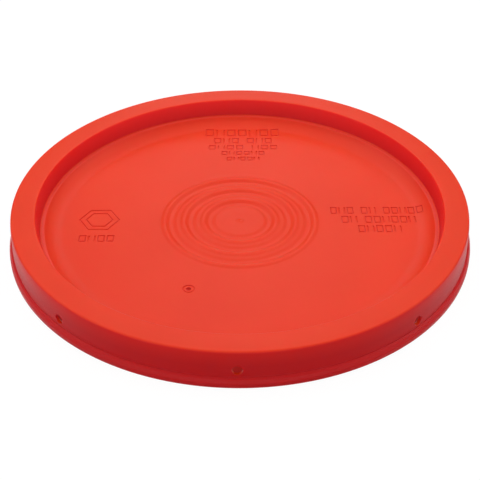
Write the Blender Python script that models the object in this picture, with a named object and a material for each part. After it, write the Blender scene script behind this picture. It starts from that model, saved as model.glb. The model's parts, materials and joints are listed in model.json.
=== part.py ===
"""Press-on cover of a plastic fermenting bucket, with the seal ring under its rim.

Units are metres and +Z is up. The origin is the centre of the circle that the
cover stands on, so the skirt's foot lies in the plane Z = 0.
"""
import math

import bmesh
import bpy
from mathutils import Matrix

# Driving dimensions of the cover
RIM_RADIUS = 0.1531
LIP_RADIUS = 0.1560
HEIGHT = 0.0261
WALL = 0.0020
RIM_ROUNDING = 0.0014
RECESS_ROUNDING = 0.0010

# Recess: a steep wall, a narrow ledge at its foot, then a shoulder that eases down to the flat panel
RECESS_RADIUS = 0.1369
WALL_SLOPE = 80             # degrees from the level
LEDGE_RADIUS = 0.1321
LEDGE_HEIGHT = 0.0140
SHOULDER_STEPS = 5
PANEL_RADIUS = 0.1190
PANEL_TOP = 0.0090

# Skirt: a drafted band outside, then a crease and a rolled lip
BAND_FOOT_RADIUS = 0.1537
BAND_FOOT = 0.0080
CREASE_RADIUS = 0.1533
CREASE_HEIGHT = 0.0070
ROLL_TOP_RADIUS = 0.1552
ROLL_TOP = 0.0060
ROLL_MIDDLE = 0.0042
ROLL_ROUNDING = 0.0017

# Inside the skirt: the bead that snaps under the bucket's own rim
LIP_INNER_RADIUS = 0.1528
LIP_CHAMFER = 0.0006
BEAD_RADIUS = 0.1500
BEAD_FOOT = 0.0036
BEAD_LOW = 0.0060
BEAD_HIGH = 0.0072
BEAD_HEAD = 0.0088

# Rings moulded round the panel's centre: each is a hollow with a low crest round its outer side.
# The four reaches are measured from the middle of the hollow.
RING_CENTRES = (0.0210, 0.0343, 0.0476)
RING_DEPTH = 0.00062
RING_CREST = 0.00058
HOLLOW_EDGE = 0.0050
HOLLOW_FOOT = 0.0016
CREST_MIDDLE = 0.0039
CREST_EDGE = 0.0070
GATE_RADIUS = 0.0022
GATE_HEIGHT = 0.0004

# Holes in the skirt that mark where it may be cut to free the cover
HOLE_COUNT = 8
HOLE_RADIUS = 0.00325
HOLE_HEIGHT = 0.0124
HOLE_SIDES = 20
FIRST_HOLE_ANGLE = math.radians(-90.6)
CUTTER_INNER = 0.1480
CUTTER_OUTER = 0.1580

# Seal ring, seated against the ceiling of the rim's channel
GASKET_INNER_RADIUS = 0.1428
GASKET_OUTER_RADIUS = 0.1494
GASKET_THICKNESS = 0.0030
GASKET_CHAMFER = 0.0007
SEAT_GAP = 0.0003

# 80 facets put a whole number of them between neighbouring holes
SEGMENTS = 80
MERGE_DISTANCE = 0.00001

COVER_COLOUR = (0.80, 0.064, 0.030, 1.0)
GASKET_COLOUR = (0.055, 0.055, 0.058, 1.0)


def clear_scene():
    for obj in list(bpy.data.objects):
        bpy.data.objects.remove(obj, do_unlink=True)


def make_material(name, colour, roughness):
    material = bpy.data.materials.new(name)
    material.use_nodes = True
    shader = material.node_tree.nodes["Principled BSDF"]
    shader.inputs["Base Color"].default_value = colour
    shader.inputs["Roughness"].default_value = roughness
    shader.inputs["Metallic"].default_value = 0.0
    return material


def arc(centre_r, centre_z, radius, start, end, steps):
    """Points on an arc in the radius-height plane, angles in degrees from +r."""
    points = []
    for step in range(steps + 1):
        angle = math.radians(start + (end - start) * step / steps)
        points.append((centre_r + radius * math.cos(angle), centre_z + radius * math.sin(angle)))
    return points


def moulded_rings():
    """The gate mark and the rings on the panel's top face, from the centre out."""
    points = [
        (0.0, PANEL_TOP + GATE_HEIGHT),
        (GATE_RADIUS, PANEL_TOP + GATE_HEIGHT),
        (GATE_RADIUS + GATE_HEIGHT, PANEL_TOP),
    ]
    for centre in RING_CENTRES:
        points.append((centre - HOLLOW_EDGE, PANEL_TOP))
        points.append((centre - HOLLOW_FOOT, PANEL_TOP - RING_DEPTH))
        points.append((centre, PANEL_TOP - RING_DEPTH))
        points.append((centre + CREST_MIDDLE, PANEL_TOP + RING_CREST))
        points.append((centre + CREST_EDGE, PANEL_TOP))
    return points


def wall_radius(height):
    """Radius of the recess wall's inner face at a height."""
    return RECESS_RADIUS - (HEIGHT - height) / math.tan(math.radians(WALL_SLOPE))


def shoulder(drop):
    """The arc from the flat panel up to the ledge, and the ledge to the wall, drop below the top face."""
    run = LEDGE_RADIUS - PANEL_RADIUS
    rise = LEDGE_HEIGHT - PANEL_TOP
    rounding = (run ** 2 + rise ** 2) / (2 * rise)
    ledge = LEDGE_HEIGHT - drop
    end = math.degrees(math.acos((PANEL_TOP + rounding - ledge) / (rounding + drop)))
    curve = arc(PANEL_RADIUS, PANEL_TOP + rounding, rounding + drop, -90, end - 90, SHOULDER_STEPS)
    return curve + [(wall_radius(ledge) + drop / math.sin(math.radians(WALL_SLOPE)), ledge)]


def rim():
    """Over the rim, from the edge of the recess to the top of the skirt."""
    recess_edge = arc(
        RECESS_RADIUS + RECESS_ROUNDING, HEIGHT - RECESS_ROUNDING, RECESS_ROUNDING,
        90 + WALL_SLOPE, 90, 2,
    )
    outer_edge = arc(RIM_RADIUS - RIM_ROUNDING, HEIGHT - RIM_ROUNDING, RIM_ROUNDING, 90, 0, 4)
    return recess_edge + outer_edge


def outer_skirt():
    """Down the outside of the skirt: drafted band, crease and rolled lip."""
    return [
        (BAND_FOOT_RADIUS, BAND_FOOT),
        (CREASE_RADIUS, CREASE_HEIGHT),
        (ROLL_TOP_RADIUS, ROLL_TOP),
        (LIP_RADIUS, ROLL_MIDDLE),
    ] + arc(LIP_RADIUS - ROLL_ROUNDING, ROLL_ROUNDING, ROLL_ROUNDING, 0, -90, 3)


def inner_skirt():
    """Up the inside of the skirt, over the snap bead, to the channel's ceiling."""
    return [
        (LIP_INNER_RADIUS + LIP_CHAMFER, 0.0),
        (LIP_INNER_RADIUS, LIP_CHAMFER),
        (LIP_INNER_RADIUS, BEAD_FOOT),
        (BEAD_RADIUS, BEAD_LOW),
        (BEAD_RADIUS, BEAD_HIGH),
        (BAND_FOOT_RADIUS - WALL, BEAD_HEAD),
        (RIM_RADIUS - WALL, HEIGHT - WALL),
    ]


def under_side():
    """Down the channel side of the recess wall and back under the panel to the axis."""
    ceiling = HEIGHT - WALL
    thickness = WALL / math.sin(math.radians(WALL_SLOPE))
    wall_head = (wall_radius(ceiling) + thickness, ceiling)
    return [wall_head] + shoulder(WALL)[::-1] + [(0.0, PANEL_TOP - WALL)]


def gasket_profile():
    """Section of the seal ring; its top face is at height 0 of the ring's own object."""
    return [
        (GASKET_OUTER_RADIUS, 0.0),
        (GASKET_OUTER_RADIUS, GASKET_CHAMFER - GASKET_THICKNESS),
        (GASKET_OUTER_RADIUS - GASKET_CHAMFER, -GASKET_THICKNESS),
        (GASKET_INNER_RADIUS + GASKET_CHAMFER, -GASKET_THICKNESS),
        (GASKET_INNER_RADIUS, GASKET_CHAMFER - GASKET_THICKNESS),
        (GASKET_INNER_RADIUS, 0.0),
    ]


def turned_object(name, profile, closed, material):
    """An object turned about +Z from a profile that starts at +X, by a Screw modifier."""
    build = bmesh.new()
    corners = [build.verts.new((radius, 0.0, height)) for radius, height in profile]
    for first, second in zip(corners, corners[1:]):
        build.edges.new((first, second))
    if closed:
        build.edges.new((corners[-1], corners[0]))
    mesh = bpy.data.meshes.new(name)
    build.to_mesh(mesh)
    build.free()
    mesh.materials.append(material)

    obj = bpy.data.objects.new(name, mesh)
    bpy.context.collection.objects.link(obj)
    screw = obj.modifiers.new("Turn", 'SCREW')
    screw.axis = 'Z'
    screw.angle = math.tau
    screw.steps = SEGMENTS
    screw.render_steps = SEGMENTS
    screw.use_merge_vertices = True
    screw.merge_threshold = MERGE_DISTANCE
    screw.use_smooth_shade = True
    return obj


def hole_cutter():
    """All the hole cutters in one guide object, each a short radial cylinder."""
    build = bmesh.new()
    length = CUTTER_OUTER - CUTTER_INNER
    lay_along_x = Matrix.Rotation(math.pi / 2, 3, 'Y')
    for index in range(HOLE_COUNT):
        angle = FIRST_HOLE_ANGLE + math.tau * index / HOLE_COUNT
        made = bmesh.ops.create_cone(
            build, cap_ends=True, segments=HOLE_SIDES,
            radius1=HOLE_RADIUS, radius2=HOLE_RADIUS, depth=length,
        )
        bmesh.ops.rotate(build, verts=made["verts"], matrix=lay_along_x)
        bmesh.ops.translate(build, verts=made["verts"], vec=(CUTTER_INNER + length / 2, 0.0, HOLE_HEIGHT))
        bmesh.ops.rotate(build, verts=made["verts"], matrix=Matrix.Rotation(angle, 3, 'Z'))
    mesh = bpy.data.meshes.new("hole_cutter")
    build.to_mesh(mesh)
    build.free()
    cutter = bpy.data.objects.new("hole_cutter", mesh)
    bpy.context.collection.objects.link(cutter)
    cutter.hide_render = True
    cutter.display_type = 'WIRE'
    return cutter


def make_cover(material):
    profile = moulded_rings() + shoulder(0.0) + rim() + outer_skirt() + inner_skirt() + under_side()
    cover = turned_object("cover", profile, False, material)
    cut = cover.modifiers.new("Cut holes", 'BOOLEAN')
    cut.operation = 'DIFFERENCE'
    cut.solver = 'EXACT'
    cut.object = hole_cutter()


def make_gasket(material):
    gasket = turned_object("rim_gasket", gasket_profile(), True, material)
    gasket.location = (0.0, 0.0, HEIGHT - WALL - SEAT_GAP)


def main():
    clear_scene()
    make_cover(make_material("moulded_hdpe", COVER_COLOUR, 0.38))
    make_gasket(make_material("seal_rubber", GASKET_COLOUR, 0.75))


main()
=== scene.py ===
"""Looks of the press-on bucket cover: fine meshes, procedural plastics, stage, lights and camera.

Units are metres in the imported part's own frame: +Z is up, and the skirt's foot is on Z = 0.
Sections are written in millimetres, as (radius, height) pairs, and scaled when they are turned.
"""

import json
import math

import bmesh
import bpy
from mathutils import Matrix, Vector

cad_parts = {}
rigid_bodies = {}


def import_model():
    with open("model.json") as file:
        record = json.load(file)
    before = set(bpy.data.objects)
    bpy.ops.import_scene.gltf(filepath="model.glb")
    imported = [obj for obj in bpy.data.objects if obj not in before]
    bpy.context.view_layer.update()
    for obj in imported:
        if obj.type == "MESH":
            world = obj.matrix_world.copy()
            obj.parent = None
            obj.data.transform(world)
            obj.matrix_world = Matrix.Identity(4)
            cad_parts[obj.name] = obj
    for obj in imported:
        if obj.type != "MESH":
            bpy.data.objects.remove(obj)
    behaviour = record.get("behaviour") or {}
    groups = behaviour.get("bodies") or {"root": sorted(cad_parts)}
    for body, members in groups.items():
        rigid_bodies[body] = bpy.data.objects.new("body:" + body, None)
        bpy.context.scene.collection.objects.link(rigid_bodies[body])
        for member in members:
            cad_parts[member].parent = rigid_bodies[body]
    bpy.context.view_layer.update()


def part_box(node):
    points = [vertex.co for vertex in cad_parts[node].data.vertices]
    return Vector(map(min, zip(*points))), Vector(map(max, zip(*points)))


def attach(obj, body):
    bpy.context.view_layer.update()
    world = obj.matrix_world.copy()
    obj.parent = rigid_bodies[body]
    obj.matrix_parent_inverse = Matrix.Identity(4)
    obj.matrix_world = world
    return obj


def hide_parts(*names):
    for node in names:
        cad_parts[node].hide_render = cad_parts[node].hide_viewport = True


for leftover in list(bpy.data.objects):
    bpy.data.objects.remove(leftover, do_unlink=True)

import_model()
cover_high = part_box("cover")[1]
gasket_low, gasket_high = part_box("rim_gasket")

MM = 0.001
LIP = cover_high.x / MM                 # largest radius, at the rolled lip
TOP = cover_high.z / MM                 # height of the rim
SEAL_TOP = gasket_high.z / MM
SEAL_FOOT = gasket_low.z / MM
SEAL_OUTER = gasket_high.x / MM
SEAL_INNER = 142.8

# Section of the cover, from the panel out to the rim
WALL = 2.0
PANEL = 9.0
PANEL_EDGE = 119.0
PANEL_LOOP = 86.0                       # an extra edge loop on the flat of the panel
LEDGE_EDGE = 132.1
LEDGE = 14.0
WALL_SLOPE = 80                         # degrees from the level
RECESS = 136.9
RIM = 153.1
RIM_ROUNDING = 1.4
SEGMENTS = 288
SHARP_ANGLE = math.radians(38)          # edges that turn more than this stay sharp

# The shoulder is one arc, level where it leaves the panel
SHOULDER_RUN = LEDGE_EDGE - PANEL_EDGE
SHOULDER_RISE = LEDGE - PANEL
SHOULDER_ROUNDING = (SHOULDER_RUN ** 2 + SHOULDER_RISE ** 2) / (2 * SHOULDER_RISE)

# Skirt: the drafted band swells a little. No height here is that of a corner of a hole's cutter
SKIRT_BAND = (
    (RIM + 0.16, 23.4),
    (RIM + 0.25, 22.0),
    (RIM + 0.33, 20.0),
    (153.46, 17.2),
    (153.48, 16.2),
    (153.50, 15.2),
    (153.53, 14.1),
    (153.57, 12.65),
    (153.60, 11.2),
    (153.64, 9.65),
)
LIP_INNER = 152.8
BEAD = 150.0
CHANNEL_OUTER = 151.1
CHANNEL_MIDDLE = 144.0
SEAL_MIDDLE = 146.0

# Rings round the panel's centre: each is a hollow with a low crest round its outer side
RING_CENTRES = (21.0, 34.3, 47.6)
RING_DEPTH = 0.62
RING_CREST = 0.58
RING_STEPS = 6
HOLLOW_EDGE = 5.0
HOLLOW_FOOT = 1.6
CREST_START = 3.7
CREST_END = 4.2
CREST_EDGE = 7.0

# Round-bottomed grooves that the marks on the panel are drawn with
STROKE_RADIUS = 0.62
STROKE_LIFT = 0.05

# Rows of marks: signs in each group, middle of the row, left end, right end, height of a sign
MARK_ROWS = (
    ((3, 2, 5), 11.5, 62.0, 127.0, 7.7),
    ((2, 6), 0.8, 69.0, 121.0, 7.7),
    ((5,), -10.2, 79.5, 110.0, 7.7),
    ((7,), 116.0, -27.0, 31.0, 9.0),
    ((3, 3), 104.5, -20.0, 25.0, 7.0),
    ((4, 3), 95.0, -24.0, 29.0, 5.5),
    ((6,), 87.0, -14.0, 19.0, 5.0),
    ((5,), 79.0, -10.0, 15.0, 5.0),
    ((4,), -20.5, -108.5, -83.5, 7.0),
)
GROUP_GAP = 0.7                         # gap between groups, as a share of a sign's pitch
SIGN_HALF_WIDTH = 0.33                  # share of the pitch
SIGN_MARGIN = 0.4                       # a groove's middle lies this far inside a sign's height
HEXAGON = (-96.0, 1.0)
HEXAGON_RADII = (13.5, 9.0)
HEXAGON_SQUASH = 0.95
DIAL = (-32.4, -74.6)
DIAL_RADIUS = 3.5
DIAL_SIDES = 24
DIAL_PIT = ((0.0, -1.5), (0.9, -1.4), (1.5, -0.9), (1.8, 0.4), (0.0, 0.4))     # stays inside the ring
PIT_SIDES = 20

# Plastic's colours with painted light in them: bright on faces that look up above the lip, deeper in
# painted shade on the sides, a painted highlight along the ledge
LIT_TOP_COLOURS = ((0.760, 0.039, 0.009, 1.0), (0.800, 0.045, 0.011, 1.0))      # mottled between the two
SHADED_SIDE_COLOURS = ((0.640, 0.015, 0.018, 1.0), (0.800, 0.023, 0.021, 1.0))     # from low down to the rim
# Painted highlight along the ledge's edge
LEDGE_HIGHLIGHT_COLOUR = (0.800, 0.056, 0.034, 1.0)
FACING_UP = (0.30, 0.90)                # how far a face looks up, from all side colour to all top colour

# Where those colours change over, as (from, to): heights and radii in metres
SIDE_GRADES = (0.0150, 0.0262)
LIP_ENDS = (0.0074, 0.0080)
LEDGE_STARTS = (0.1316, 0.1324)
LEDGE_ENDS = (0.1338, 0.1344)

# Seal ring's rubber: clean and dusty
RUBBER_COLOURS = ((0.036, 0.036, 0.038, 1.0), (0.070, 0.069, 0.068, 1.0))

# Holes in the skirt
HOLE_COUNT = 8
HOLE_RADIUS = 3.25
HOLE_SIDES = 40
HOLE_FLARE = 0.22
HOLE_HEIGHT = 12.4
HOLE_FACE = 153.57                      # the skirt's radius beside a hole
CUTTER_IN = 8.0                         # how far a cutter reaches in and out from that face
CUTTER_OUT = 3.0
FLARE_DEPTH = 0.25
FIRST_HOLE = math.radians(-90.6)

# Ground: how far it is below the skirt's foot, its half width, and where the painted red glow under the
# cover ends
FLOOR_DROP = 0.0002
FLOOR_REACH = 12.0
FLOOR_BASE = (0.06, 0.06, 0.06, 1.0)
FLOOR_LIGHT = (0.955, 0.955, 0.955, 1.0)
GLOW_LIGHT = (0.28, 0.009, 0.008, 1.0)
GLOW_ENDS = (0.150, 0.155)

# Camera: where it stands, how far it is tipped up from straight down, its roll and its lens
CAMERA_PLACE = (0.00010, -0.62682, 0.45351)
CAMERA_TILT = math.radians(90 - 36.345)
CAMERA_ROLL = math.radians(-0.16)
CAMERA_LENS = 84.25

# Soft disc lights: azimuth and elevation in degrees, power in watts
LIGHT_DISTANCE = 1.6
LIGHT_SIZE = 0.62
LIGHTS = (
    ("overhead_back", 180, 80, 1.9),
    ("left_back", 225, 54, 3.1),
    ("right_back", 135, 52, 2.6),
    ("left_high", 270, 62, 0.7),
    ("right_high", 90, 62, 0.6),
    ("high_back", 180, 54, 1.6),
    ("back", 180, 33, 1.3),
    ("low_back", 180, 12, 0.8),
    ("right", 90, 34, 2.35),
    ("left", 270, 33, 1.9),
    ("left_front", 315, 25, 1.2),
    ("front", 0, 25, 0.85),
)

# Surroundings: brightness against the height of the direction, 0 at the horizon and 1 overhead.
# Everything below the horizon has the first level
FRONT_LEVELS = ((0.0, 0.17), (0.01, 2.7), (0.34, 0.0), (0.64, 0.66), (0.87, 0.39), (1.0, 0.0))
BACK_LEVELS = ((0.0, 0.9), (0.01, 0.0), (0.34, 0.0), (0.64, 1.15), (0.87, 0.67), (1.0, 0.57))


# ---------------------------------------------------------------- sections

def arc(centre, radius, start, end, steps):
    """Points on an arc, angles in degrees from outwards towards up."""
    points = []
    for step in range(steps + 1):
        angle = math.radians(start + (end - start) * step / steps)
        points.append((centre[0] + radius * math.cos(angle), centre[1] + radius * math.sin(angle)))
    return points


def softened(corners, steps=5):
    """A line through corners given as (radius, height, rounding), each turned into an arc."""
    line = []
    last = len(corners) - 1
    for index, (x, y, rounding) in enumerate(corners):
        if rounding == 0 or index in (0, last):
            line.append((x, y))
            continue
        here = Vector((x, y))
        back = (Vector(corners[index - 1][:2]) - here).normalized()
        ahead = (Vector(corners[index + 1][:2]) - here).normalized()
        half = back.angle(ahead) / 2
        centre = here + (back + ahead).normalized() * (rounding / math.sin(half))
        reach = rounding / math.tan(half)
        first = here + back * reach - centre
        turn = first.angle_signed(here + ahead * reach - centre)
        for step in range(steps + 1):
            point = centre + Matrix.Rotation(-turn * step / steps, 2) @ first
            line.append((point.x, point.y))
    return line


def panel_top():
    """The panel's top face from the axis out: gate mark, rings, flat."""
    line = [(0.0, PANEL + 0.10), (0.5, PANEL + 0.14), (0.9, PANEL + 0.36), (1.5, PANEL + 0.40),
            (2.0, PANEL + 0.34), (2.5, PANEL + 0.12), (3.1, PANEL + 0.02), (4.0, PANEL), (10.0, PANEL)]
    for centre in RING_CENTRES:
        knots = [
            (centre - HOLLOW_EDGE, 0.0),
            (centre - HOLLOW_FOOT, -RING_DEPTH),
            (centre, -RING_DEPTH),
            (centre + CREST_START, RING_CREST),
            (centre + CREST_END, RING_CREST),
            (centre + CREST_EDGE, 0.0),
        ]
        for (start, low), (end, high) in zip(knots, knots[1:]):
            for step in range(RING_STEPS):
                along = step / RING_STEPS
                rise = (1 - math.cos(math.pi * along)) / 2
                line.append((start + (end - start) * along, PANEL + low + (high - low) * rise))
    line += [(RING_CENTRES[-1] + CREST_EDGE, PANEL), (60.0, PANEL), (PANEL_LOOP, PANEL)]
    return line


def wall_radius(height):
    """Radius of the recess wall's face at a height."""
    return RECESS - (TOP - height) / math.tan(math.radians(WALL_SLOPE))


def shoulder(drop, steps):
    """The hollow curve from the flat panel up to the ledge, drop below the top face."""
    radius = SHOULDER_ROUNDING + drop
    end = math.degrees(math.acos((radius - SHOULDER_RISE) / radius))
    return arc((PANEL_EDGE, PANEL + SHOULDER_ROUNDING), radius, -90, end - 90, steps)


def surface_height(radius):
    """Height of the cover's top face on the flat panel and on the shoulder."""
    if radius <= PANEL_EDGE:
        return PANEL
    away = min(radius, LEDGE_EDGE) - PANEL_EDGE
    return PANEL + SHOULDER_ROUNDING - math.sqrt(SHOULDER_ROUNDING ** 2 - away ** 2)


def cover_section():
    """The cover's closed section, over the top, down the skirt and back under the panel."""
    slope = shoulder(0.0, 16)
    recess = softened([
        (*slope[-2], 0),
        (*slope[-1], 2.1),
        (wall_radius(LEDGE), LEDGE, 0.6),
        (RECESS, TOP, 1.0),
        (141.0, TOP, 0),
    ])
    rim_edge = arc((RIM - RIM_ROUNDING, TOP - RIM_ROUNDING), RIM_ROUNDING, 90, 4, 8)
    over = panel_top() + slope[:-2] + recess + [(146.5, TOP)] + rim_edge
    outside = softened([
        (RIM, TOP - RIM_ROUNDING, 0),
        *((radius, height, 0) for radius, height in SKIRT_BAND),
        (153.70, 8.2, 0.9),
        (153.40, 7.1, 0.4),
        (154.90, 6.2, 0.9),
        (LIP, 4.0, 1.4),
        (LIP, 0.0, 1.7),
        (LIP_INNER, 0.0, 0.5),
        (LIP_INNER, 3.6, 0.7),
        (BEAD, 6.0, 0.5),
        (BEAD, 7.2, 0.5),
        (151.7, 8.8, 0.8),
        (CHANNEL_OUTER, TOP - WALL, 0.6),
        (CHANNEL_MIDDLE, TOP - WALL, 0),
    ])
    thickness = WALL / math.sin(math.radians(WALL_SLOPE))
    curve = shoulder(WALL, 12)[::-1]
    channel = softened([
        (CHANNEL_MIDDLE, TOP - WALL, 0),
        (wall_radius(TOP - WALL) + thickness, TOP - WALL, 0.8),
        (wall_radius(LEDGE - WALL) + thickness, LEDGE - WALL, 0.8),
        (*curve[0], 0),
    ])
    under = curve + [(PANEL_LOOP, PANEL - WALL), (40.0, PANEL - WALL), (0.0, PANEL - WALL)]
    return over + outside[1:-1] + channel[:-1] + under


def gasket_section():
    """The seal ring's closed section, with softened corners."""
    return softened([
        (SEAL_MIDDLE, SEAL_TOP, 0),
        (SEAL_OUTER, SEAL_TOP, 0.35),
        (SEAL_OUTER, SEAL_FOOT, 0.9),
        (SEAL_INNER, SEAL_FOOT, 0.9),
        (SEAL_INNER, SEAL_TOP, 0.35),
        (SEAL_MIDDLE, SEAL_TOP, 0),
    ], 6)[:-1]


# ---------------------------------------------------------------- meshes

def turned_mesh(name, section, segments):
    """A mesh turned about +Z from a section in millimetres. Points on the axis become one vertex."""
    vertices, rings = [], []
    for radius, height in section:
        first = len(vertices)
        if radius < 1e-6:
            vertices.append((0.0, 0.0, height * MM))
            rings.append([first] * segments)
            continue
        for index in range(segments):
            angle = math.tau * index / segments
            vertices.append((radius * MM * math.cos(angle), radius * MM * math.sin(angle), height * MM))
        rings.append(list(range(first, first + segments)))
    on_axis = section[0][0] < 1e-6
    pairs = list(zip(rings, rings[1:]))
    if not on_axis:
        pairs.append((rings[-1], rings[0]))
    faces = []
    for inner, outer in pairs:
        for index in range(segments):
            after = (index + 1) % segments
            face = [inner[index], outer[index], outer[after], inner[after]]
            faces.append(list(dict.fromkeys(face)))
    mesh = bpy.data.meshes.new(name)
    mesh.from_pydata(vertices, [], faces)
    mesh.validate()
    return mesh


def outward(mesh):
    """Turns every face of a closed mesh to the outside."""
    build = bmesh.new()
    build.from_mesh(mesh)
    bmesh.ops.recalc_face_normals(build, faces=build.faces)
    build.to_mesh(mesh)
    build.free()


def placed(name, mesh):
    """A new object in the scene."""
    obj = bpy.data.objects.new(name, mesh)
    bpy.context.scene.collection.objects.link(obj)
    return obj


def joined(name, meshes):
    """One mesh that holds all these closed meshes."""
    build = bmesh.new()
    for mesh in meshes:
        build.from_mesh(mesh)
        bpy.data.meshes.remove(mesh)
    whole = bpy.data.meshes.new(name)
    build.to_mesh(whole)
    build.free()
    outward(whole)
    return whole


def cut(mesh, cutter):
    """A new mesh: the first one with the cutter's shape taken out of it."""
    blank, tool = placed("blank", mesh), placed("tool", cutter)
    step = blank.modifiers.new("cut", 'BOOLEAN')
    step.operation = 'DIFFERENCE'
    step.solver = 'EXACT'
    step.use_hole_tolerant = True
    step.object = tool
    bpy.context.view_layer.update()
    graph = bpy.context.evaluated_depsgraph_get()
    result = bpy.data.meshes.new_from_object(blank.evaluated_get(graph))
    bpy.data.objects.remove(blank)
    bpy.data.objects.remove(tool)
    return result


def hole_mesh(angle):
    """A radial cutter with a small flare where it leaves the skirt's outer face."""
    section = [(0.0, -CUTTER_IN), (HOLE_RADIUS, -CUTTER_IN), (HOLE_RADIUS, -FLARE_DEPTH)]
    section += arc((HOLE_RADIUS + HOLE_FLARE, -FLARE_DEPTH), HOLE_FLARE, 180, 100, 4)[1:]
    section += [(HOLE_RADIUS + HOLE_FLARE + 0.1, CUTTER_OUT), (0.0, CUTTER_OUT)]
    mesh = turned_mesh("hole", section, HOLE_SIDES)
    lay = Matrix.Rotation(angle, 4, 'Z') @ Matrix.Translation((HOLE_FACE * MM, 0, HOLE_HEIGHT * MM))
    mesh.transform(lay @ Matrix.Rotation(math.pi / 2, 4, 'Y'))
    return mesh


def stroke_mesh(points, closed=False):
    """The cutter of a groove in the panel that follows points in millimetres."""
    curve = bpy.data.curves.new("stroke", 'CURVE')
    curve.dimensions = '3D'
    curve.bevel_depth = STROKE_RADIUS * MM
    curve.bevel_resolution = 3
    curve.use_fill_caps = True
    spline = curve.splines.new('POLY')
    spline.points.add(len(points) - 1)
    for knot, (x, y) in zip(spline.points, points):
        knot.co = (x * MM, y * MM, 0.0, 1.0)
    spline.use_cyclic_u = closed
    holder = placed("stroke", curve)
    bpy.context.view_layer.update()
    mesh = bpy.data.meshes.new_from_object(holder)
    bpy.data.objects.remove(holder)
    bpy.data.curves.remove(curve)
    build = bmesh.new()
    build.from_mesh(mesh)
    bmesh.ops.remove_doubles(build, verts=build.verts, dist=0.001 * MM)
    for knot in build.verts:
        ground = surface_height(math.hypot(knot.co.x, knot.co.y) / MM)
        knot.co.z += (ground + STROKE_LIFT) * MM
    build.to_mesh(mesh)
    build.free()
    return mesh


def mark_row(words, centre_y, left, right, tall):
    """A row of plain open boxes and bars in groups, spread between left and right."""
    places = []
    at = 0.0
    for count in words:
        places += [at + index for index in range(count)]
        at += count + GROUP_GAP
    pitch = (right - left) / (places[-1] + 1)
    half_x, half_y = pitch * SIGN_HALF_WIDTH, tall / 2 - SIGN_MARGIN
    meshes = []
    for index, place in enumerate(places):
        x = left + pitch * (place + 0.5)
        if index % 3 == 1:
            for bar in (x - half_x, x + half_x):
                meshes.append(stroke_mesh([(bar, centre_y - half_y), (bar, centre_y + half_y)]))
            continue
        corners = [(x - half_x, centre_y - half_y), (x + half_x, centre_y - half_y),
                   (x + half_x, centre_y + half_y), (x - half_x, centre_y + half_y)]
        meshes.append(stroke_mesh(corners, True))
    return meshes


def round_frame(cx, cy, radius, squash, sides):
    """Corners of a regular frame, flattened front to back by squash."""
    points = []
    for index in range(sides):
        angle = math.tau * index / sides
        points.append((cx + radius * math.cos(angle), cy + radius * squash * math.sin(angle)))
    return points


def panel_marks():
    """Plain marks where the moulding carries its notes: boxes and bars, a double hexagon, a dial."""
    meshes = []
    for words, y, left, right, tall in MARK_ROWS:
        meshes += mark_row(words, y, left, right, tall)
    for radius in HEXAGON_RADII:
        meshes.append(stroke_mesh(round_frame(*HEXAGON, radius, HEXAGON_SQUASH, 6), True))
    meshes.append(stroke_mesh(round_frame(*DIAL, DIAL_RADIUS, 1.0, DIAL_SIDES), True))
    return meshes


def dimple_mesh():
    """The cutter of the small pit in the middle of the dial."""
    mesh = turned_mesh("dimple", DIAL_PIT, PIT_SIDES)
    mesh.transform(Matrix.Translation((DIAL[0] * MM, DIAL[1] * MM, PANEL * MM)))
    return mesh


def shade(mesh):
    """Smooth shading, apart from the sharp edges."""
    mesh.shade_smooth()
    mesh.set_sharp_from_angle(angle=SHARP_ANGLE)


def make_cover(material):
    """The cover: its section turned, then the holes and the marks cut out of it in one step."""
    turned = turned_mesh("turned", cover_section(), SEGMENTS)
    outward(turned)
    holes = [hole_mesh(FIRST_HOLE + math.tau * index / HOLE_COUNT) for index in range(HOLE_COUNT)]
    shell = cut(turned, joined("cutters", holes + panel_marks() + [dimple_mesh()]))
    shell.name = "cover_shell"
    cover = placed("cover_shell", shell)
    cover.data.materials.clear()
    cover.data.materials.append(material)
    shade(cover.data)
    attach(cover, "cover")
    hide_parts("cover")


def make_gasket(material):
    """The seal ring in the channel under the rim."""
    gasket = placed("seal_ring", turned_mesh("seal_ring", gasket_section(), SEGMENTS))
    outward(gasket.data)
    gasket.data.materials.append(material)
    shade(gasket.data)
    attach(gasket, "gasket")
    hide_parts("rim_gasket")


# ---------------------------------------------------------------- materials

def new_material(name):
    """A material that uses nodes, with its nodes and its links."""
    material = bpy.data.materials.new(name)
    material.use_nodes = True
    return material, material.node_tree.nodes, material.node_tree.links


def noise(nodes, links, vector, scale, detail, roughness=0.5):
    """Noise of so many features to the metre."""
    node = nodes.new("ShaderNodeTexNoise")
    node.inputs["Scale"].default_value = scale
    node.inputs["Detail"].default_value = detail
    node.inputs["Roughness"].default_value = roughness
    links.new(vector, node.inputs["Vector"])
    return node.outputs["Fac"]


def ranged(nodes, links, source, low, high, from_low=0.3, from_high=0.7):
    """A value carried from one range to another and held between low and high."""
    node = nodes.new("ShaderNodeMapRange")
    node.inputs["From Min"].default_value = from_low
    node.inputs["From Max"].default_value = from_high
    node.inputs["To Min"].default_value = low
    node.inputs["To Max"].default_value = high
    links.new(source, node.inputs["Value"])
    return node.outputs["Result"]


def bumped(nodes, links, height, strength, distance, normal=None):
    """The normal of a surface roughened by height, on top of another normal if one is given."""
    node = nodes.new("ShaderNodeBump")
    node.inputs["Strength"].default_value = strength
    node.inputs["Distance"].default_value = distance
    links.new(height, node.inputs["Height"])
    if normal is not None:
        links.new(normal, node.inputs["Normal"])
    return node.outputs["Normal"]


def mixed(nodes, links, factor, low, high):
    """A colour between two others, each given as a tuple or as a node's output."""
    node = nodes.new("ShaderNodeMix")
    node.data_type = 'RGBA'
    links.new(factor, node.inputs["Factor"])
    for socket, colour in ((node.inputs["A"], low), (node.inputs["B"], high)):
        if isinstance(colour, tuple):
            socket.default_value = colour
        else:
            links.new(colour, socket)
    return node.outputs["Result"]


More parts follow.
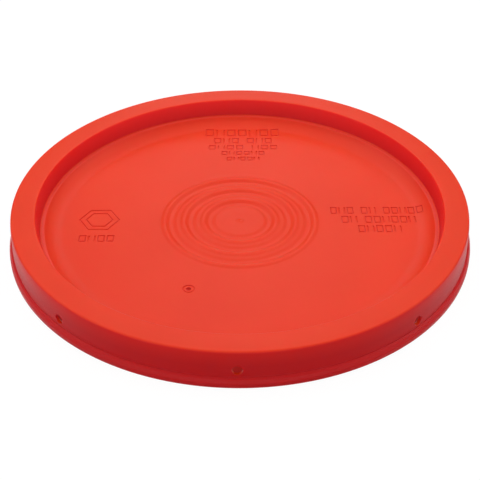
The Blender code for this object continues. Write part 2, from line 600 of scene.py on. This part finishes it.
def product(nodes, links, first, second):
    """One value times another."""
    node = nodes.new("ShaderNodeMath")
    node.operation = 'MULTIPLY'
    links.new(first, node.inputs[0])
    links.new(second, node.inputs[1])
    return node.outputs["Value"]


def axis_distance(nodes, links, place):
    """Distance from the Z axis."""
    flat = nodes.new("ShaderNodeVectorMath")
    flat.operation = 'MULTIPLY'
    flat.inputs[1].default_value = (1.0, 1.0, 0.0)
    links.new(place, flat.inputs[0])
    length = nodes.new("ShaderNodeVectorMath")
    length.operation = 'LENGTH'
    links.new(flat.outputs["Vector"], length.inputs[0])
    return length.outputs["Value"]


def upward(nodes, links):
    """How far a face looks up, from -1 to 1."""
    split = nodes.new("ShaderNodeSeparateXYZ")
    links.new(nodes.new("ShaderNodeTexCoord").outputs["Normal"], split.inputs["Vector"])
    return split.outputs["Z"]


def hdpe_material():
    """Orange-red moulded polyethylene: satin, faintly mottled, with a fine grain, and painted light in
    its colour: brighter on faces that look up and towards the rim, a painted highlight along the ledge.
    """
    material, nodes, links = new_material("moulded_hdpe_look")
    shader = nodes["Principled BSDF"]
    place = nodes.new("ShaderNodeTexCoord").outputs["Object"]

    cloud = noise(nodes, links, place, 14.0, 3.0)
    fleck = noise(nodes, links, place, 900.0, 2.0)
    mottle = ranged(nodes, links, cloud, 0.0, 1.0)
    top = mixed(nodes, links, mottle, *LIT_TOP_COLOURS)
    split = nodes.new("ShaderNodeSeparateXYZ")
    links.new(place, split.inputs["Vector"])
    height = split.outputs["Z"]
    # Painted light: the sides are painted lighter from low down up to the rim
    grade = ranged(nodes, links, height, 0.0, 1.0, *SIDE_GRADES)
    side = mixed(nodes, links, grade, *SHADED_SIDE_COLOURS)
    # Painted light: faces that look up above the lip get the brighter top colours, the sides the deeper,
    # shaded ones
    level = ranged(nodes, links, upward(nodes, links), 0.0, 1.0, *FACING_UP)
    above_lip = ranged(nodes, links, height, 0.0, 1.0, *LIP_ENDS)
    skin = mixed(nodes, links, product(nodes, links, level, above_lip), side, top)
    radius = axis_distance(nodes, links, place)
    # Painted highlight: a lighter band along the ledge's edge
    past_start = ranged(nodes, links, radius, 0.0, 1.0, *LEDGE_STARTS)
    before_end = ranged(nodes, links, radius, 1.0, 0.0, *LEDGE_ENDS)
    ledge = product(nodes, links, past_start, before_end)
    links.new(mixed(nodes, links, ledge, skin, LEDGE_HIGHLIGHT_COLOUR), shader.inputs["Base Color"])

    grain = noise(nodes, links, place, 1600.0, 2.0)
    links.new(ranged(nodes, links, fleck, 0.34, 0.44), shader.inputs["Roughness"])
    waves = noise(nodes, links, place, 38.0, 2.0)
    normal = bumped(nodes, links, waves, 0.35, 0.0004)
    normal = bumped(nodes, links, grain, 0.10, 0.0001, normal)
    links.new(normal, shader.inputs["Normal"])

    shader.inputs["IOR"].default_value = 1.5
    shader.inputs["Specular IOR Level"].default_value = 0.13
    shader.inputs["Subsurface Weight"].default_value = 0.6
    shader.inputs["Subsurface Radius"].default_value = (1.0, 0.1, 0.05)
    shader.inputs["Subsurface Scale"].default_value = 0.003
    return material


def rubber_material():
    """Dark matt rubber with a fine grain and a little dust."""
    material, nodes, links = new_material("seal_rubber_look")
    shader = nodes["Principled BSDF"]
    place = nodes.new("ShaderNodeTexCoord").outputs["Object"]
    dust = noise(nodes, links, place, 60.0, 5.0, 0.6)
    dusty = ranged(nodes, links, dust, 0.0, 1.0, 0.4, 0.75)
    skin = mixed(nodes, links, dusty, *RUBBER_COLOURS)
    links.new(skin, shader.inputs["Base Color"])
    grain = noise(nodes, links, place, 1400.0, 3.0)
    links.new(ranged(nodes, links, grain, 0.62, 0.80), shader.inputs["Roughness"])
    links.new(bumped(nodes, links, grain, 0.35, 0.0002), shader.inputs["Normal"])
    return material


# ---------------------------------------------------------------- stage, lights, camera

def make_floor():
    """A plain white ground, clear from below. Under the cover it glows red, painted light that stands in
    for light through the plastic.
    """
    build = bmesh.new()
    bmesh.ops.create_grid(build, x_segments=1, y_segments=1, size=FLOOR_REACH)
    mesh = bpy.data.meshes.new("floor")
    build.to_mesh(mesh)
    build.free()
    floor = placed("floor", mesh)
    floor.location.z = -FLOOR_DROP
    floor.visible_glossy = False
    floor.visible_diffuse = False
    floor.visible_shadow = False
    material, nodes, links = new_material("pale_floor")
    shader = nodes["Principled BSDF"]
    shader.inputs["Base Color"].default_value = FLOOR_BASE
    shader.inputs["Roughness"].default_value = 0.9
    shader.inputs["Specular IOR Level"].default_value = 0.1
    shader.inputs["Emission Strength"].default_value = 1.0
    length = nodes.new("ShaderNodeVectorMath")
    length.operation = 'LENGTH'
    links.new(nodes.new("ShaderNodeTexCoord").outputs["Object"], length.inputs[0])
    # Painted light: the emission under the cover is a red glow
    outside = ranged(nodes, links, length.outputs["Value"], 0.0, 1.0, *GLOW_ENDS)
    glow = mixed(nodes, links, outside, GLOW_LIGHT, FLOOR_LIGHT)
    links.new(glow, shader.inputs["Emission Color"])
    clear = nodes.new("ShaderNodeBsdfTransparent")
    sides = nodes.new("ShaderNodeMixShader")
    links.new(nodes.new("ShaderNodeNewGeometry").outputs["Backfacing"], sides.inputs["Fac"])
    links.new(shader.outputs["BSDF"], sides.inputs[1])
    links.new(clear.outputs["BSDF"], sides.inputs[2])
    links.new(sides.outputs["Shader"], nodes["Material Output"].inputs["Surface"])
    mesh.materials.append(material)


def area_light(name, azimuth, elevation, power):
    """A soft disc light that faces the object. Azimuth 0 is the front and 90 is the right."""
    data = bpy.data.lights.new(name, 'AREA')
    data.shape = 'DISK'
    data.size = LIGHT_SIZE
    data.energy = power
    light = bpy.data.objects.new(name, data)
    bpy.context.scene.collection.objects.link(light)
    turn, lift = math.radians(azimuth), math.radians(elevation)
    away = Vector((
        math.sin(turn) * math.cos(lift), -math.cos(turn) * math.cos(lift), math.sin(lift)))
    light.location = away * LIGHT_DISTANCE
    light.rotation_mode = 'QUATERNION'
    light.rotation_quaternion = away.to_track_quat('Z', 'Y')


def level_ramp(nodes, links, source, levels):
    """Brightness that follows the height of the direction looked in, through (height, level) pairs."""
    node = nodes.new("ShaderNodeValToRGB")
    stops = node.color_ramp.elements
    while len(stops) < len(levels):
        stops.new(1.0)
    for stop, (height, level) in zip(stops, levels):
        stop.position = height
        stop.color = (level, level, level, 1.0)
    links.new(source, node.inputs["Fac"])
    return node.outputs["Color"]


def make_world():
    """Plain studio surroundings: a bright band low down in front and a soft glow high up all round."""
    world = bpy.data.worlds.new("studio")
    world.use_nodes = True
    nodes, links = world.node_tree.nodes, world.node_tree.links
    coordinates = nodes.new("ShaderNodeTexCoord")
    split = nodes.new("ShaderNodeSeparateXYZ")
    links.new(coordinates.outputs["Generated"], split.inputs["Vector"])
    height = split.outputs["Z"]
    behind = ranged(nodes, links, split.outputs["Y"], 0.0, 1.0, -0.5, 0.5)
    front = level_ramp(nodes, links, height, FRONT_LEVELS)
    back = level_ramp(nodes, links, height, BACK_LEVELS)
    links.new(mixed(nodes, links, behind, front, back), nodes["Background"].inputs["Color"])
    nodes["Background"].inputs["Strength"].default_value = 1.0
    bpy.context.scene.world = world


def make_camera():
    """The camera at the viewing angle of the photo."""
    data = bpy.data.cameras.new("camera")
    data.lens = CAMERA_LENS
    data.sensor_width = 36.0
    data.clip_start = 0.01
    data.clip_end = 50.0
    camera = bpy.data.objects.new("camera", data)
    camera.matrix_world = (
        Matrix.Translation(CAMERA_PLACE)
        @ Matrix.Rotation(CAMERA_TILT, 4, 'X')
        @ Matrix.Rotation(CAMERA_ROLL, 4, 'Z')
    )
    bpy.context.scene.collection.objects.link(camera)
    bpy.context.scene.camera = camera


def main():
    make_cover(hdpe_material())
    make_gasket(rubber_material())
    make_floor()
    make_world()
    for light in LIGHTS:
        area_light(*light)
    make_camera()
    bpy.context.scene.view_settings.view_transform = 'Standard'
    bpy.context.scene.view_settings.look = 'None'


main()
